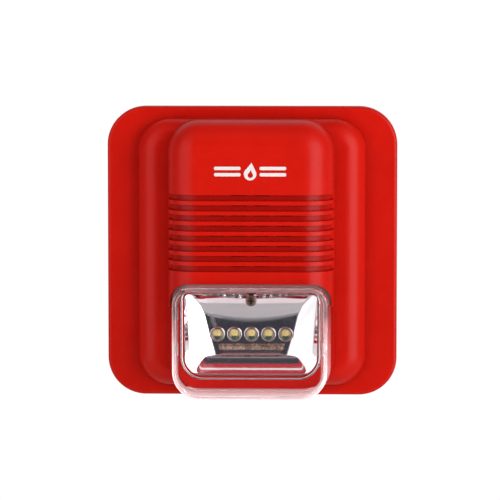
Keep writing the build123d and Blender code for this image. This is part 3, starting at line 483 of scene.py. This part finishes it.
trough = reflector()
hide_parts("strobe_reflector")
ledge()
for k, x in enumerate(LAMP_X, start=1):
    for part, profile, rise, material in (
        ("collar", COLLAR, 0.0, "bright_plating"),
        ("cup", CUP, 0.0, "tinned_metal"),
        ("phosphor", PHOSPHOR, PHOSPHOR_RISE, "phosphor"),
        ("bond", BOND, BOND_RISE, "bond_green"),
    ):
        piece = lathe(f"lamp_{part}_{k}", profile, (x, LAMP_Z + rise), material, "head")

# ---------------------------------------------------------------- lights and surroundings


def polar(azimuth, elevation, distance):
    a, e = math.radians(azimuth), math.radians(elevation)
    return (
        distance * math.sin(a) * math.cos(e),
        -distance * math.cos(a) * math.cos(e),
        distance * math.sin(e),
    )


def aim_at_centre(obj, location):
    obj.location = location
    obj.rotation_euler = (Vector((0, 0, 0)) - obj.location).to_track_quat("-Z", "Y").to_euler()


def area(name, azimuth, elevation, size, power):
    data = bpy.data.lights.new(name, "AREA")
    data.shape = "RECTANGLE"
    data.size, data.size_y = size
    data.energy = power
    obj = bpy.data.objects.new(name, data)
    bpy.context.scene.collection.objects.link(obj)
    aim_at_centre(obj, polar(azimuth, elevation, LIGHT_DISTANCE))


def band(nt, source, low, high, to_low, to_high):
    """Value going softly from to_low to to_high while source goes from low to high."""
    result = spread(nt, source, to_low, to_high, low, high)
    result.node.interpolation_type = "SMOOTHSTEP"
    return result


def stripe(nt, source, rise, fall):
    """One between the end of rise and the start of fall, and none outside them."""
    return combine(nt, "MULTIPLY", band(nt, source, *rise, 0.0, 1.0), band(nt, source, *fall, 1.0, 0.0))


def side_light(nt, direction):
    """Strength of the white surroundings: bright at both sides, dark in front and overhead."""
    x, y, z = (direction.outputs[axis] for axis in "XYZ")
    right = band(nt, x, 0.28, 0.50, 0.0, 1.10)
    left = band(nt, x, -0.28, -0.50, 0.0, 0.80)
    forward = band(nt, y, 0.0, -0.45, 0.12, 1.0)
    behind = band(nt, y, 0.3, 0.7, 0.0, 0.45)
    below = band(nt, z, -0.12, -0.5, 0.0, 0.60)
    above = band(nt, z, 0.45, 0.85, 0.03, 0.16)
    sides = combine(nt, "MULTIPLY", combine(nt, "ADD", right, left), forward)
    sides = combine(nt, "MAXIMUM", sides, behind)
    return combine(nt, "ADD", sides, combine(nt, "ADD", below, above))


def plain_to_the_camera(nt, strength):
    """The same strength, but an even white where the camera looks straight at the surroundings."""
    path = nt.nodes.new("ShaderNodeLightPath")
    mix = nt.nodes.new("ShaderNodeMix")
    mix.data_type = "FLOAT"
    mix.inputs["B"].default_value = 1.0
    link(nt, strength, mix.inputs["A"])
    link(nt, path.outputs["Is Camera Ray"], mix.inputs["Factor"])
    return mix.outputs["Result"]


def red_card(nt, direction):
    """A red card low in front of the part, with a white slot across it, for the plated trough to mirror."""
    height = direction.outputs["Z"]
    card = stripe(nt, height, (0.03, 0.05), (0.40, 0.44))
    card = combine(nt, "MULTIPLY", card, band(nt, direction.outputs["Y"], -0.5, -0.6, 0.0, 1.0))
    slot = stripe(nt, height, (0.145, 0.16), (0.20, 0.215))
    tint = nt.nodes.new("ShaderNodeMix")
    tint.data_type = "RGBA"
    tint.inputs["A"].default_value = (0.56, 0.004, 0.006, 1)
    tint.inputs["B"].default_value = (0.9, 0.9, 0.9, 1)
    link(nt, slot, tint.inputs["Factor"])
    light = nt.nodes.new("ShaderNodeBackground")
    link(nt, tint.outputs["Result"], light.inputs["Color"])
    link(nt, card, light.inputs["Strength"])
    return light.outputs["Background"]


def add_shaders(nt, a, b):
    both = nt.nodes.new("ShaderNodeAddShader")
    link(nt, a, both.inputs[0])
    link(nt, b, both.inputs[1])
    return both.outputs["Shader"]


def surroundings():
    world = bpy.data.worlds.new("world")
    bpy.context.scene.world = world
    world.use_nodes = True
    nt = world.node_tree
    coords = nt.nodes.new("ShaderNodeTexCoord")
    direction = nt.nodes.new("ShaderNodeSeparateXYZ")
    link(nt, coords.outputs["Generated"], direction.inputs["Vector"])
    white = nt.nodes["Background"]
    white.inputs["Color"].default_value = (1, 1, 1, 1)
    link(nt, plain_to_the_camera(nt, side_light(nt, direction)), white.inputs["Strength"])
    ambient = nt.nodes.new("ShaderNodeBackground")
    ambient.inputs["Color"].default_value = (0.60, 0.64, 1.0, 1)
    ambient.inputs["Strength"].default_value = 0.035
    both = add_shaders(nt, white.outputs["Background"], ambient.outputs["Background"])
    link(nt, add_shaders(nt, both, red_card(nt, direction)), nt.nodes["World Output"].inputs["Surface"])


area("light_right", 48, 8, (0.9, 1.1), 7.0)
area("light_left", -48, 8, (0.9, 1.1), 2.0)
area("light_top", 0, 60, (0.9, 0.5), 0.35)
surroundings()

# ---------------------------------------------------------------- floor and camera

floor_mesh = bpy.data.meshes.new("floor")
corners = [(-1, -1), (1, -1), (1, 1), (-1, 1)]
floor_mesh.from_pydata([(x * FLOOR_HALF, y * FLOOR_HALF, FLOOR_Z) for x, y in corners], [], [(0, 1, 2, 3)])
floor = bpy.data.objects.new("floor", floor_mesh)
bpy.context.scene.collection.objects.link(floor)
surface("floor_paper", (0.86, 0.86, 0.86), (0.6, 0.8), grain=900.0, depth=0.0001, strength=0.2, vary=0.01)
floor_mesh.materials.append(MATS["floor_paper"])

cam_data = bpy.data.cameras.new("camera")
cam = bpy.data.objects.new("camera", cam_data)
bpy.context.scene.collection.objects.link(cam)
aim_at_centre(cam, polar(1.73, 5.5, CAMERA_DISTANCE))
cam_data.lens = 246.1
cam_data.sensor_width = 36.0
cam_data.shift_x = -0.0057
cam_data.shift_y = -0.0016
cam_data.clip_start = 0.01
bpy.context.scene.camera = cam
bpy.context.scene.view_settings.view_transform = "Standard"
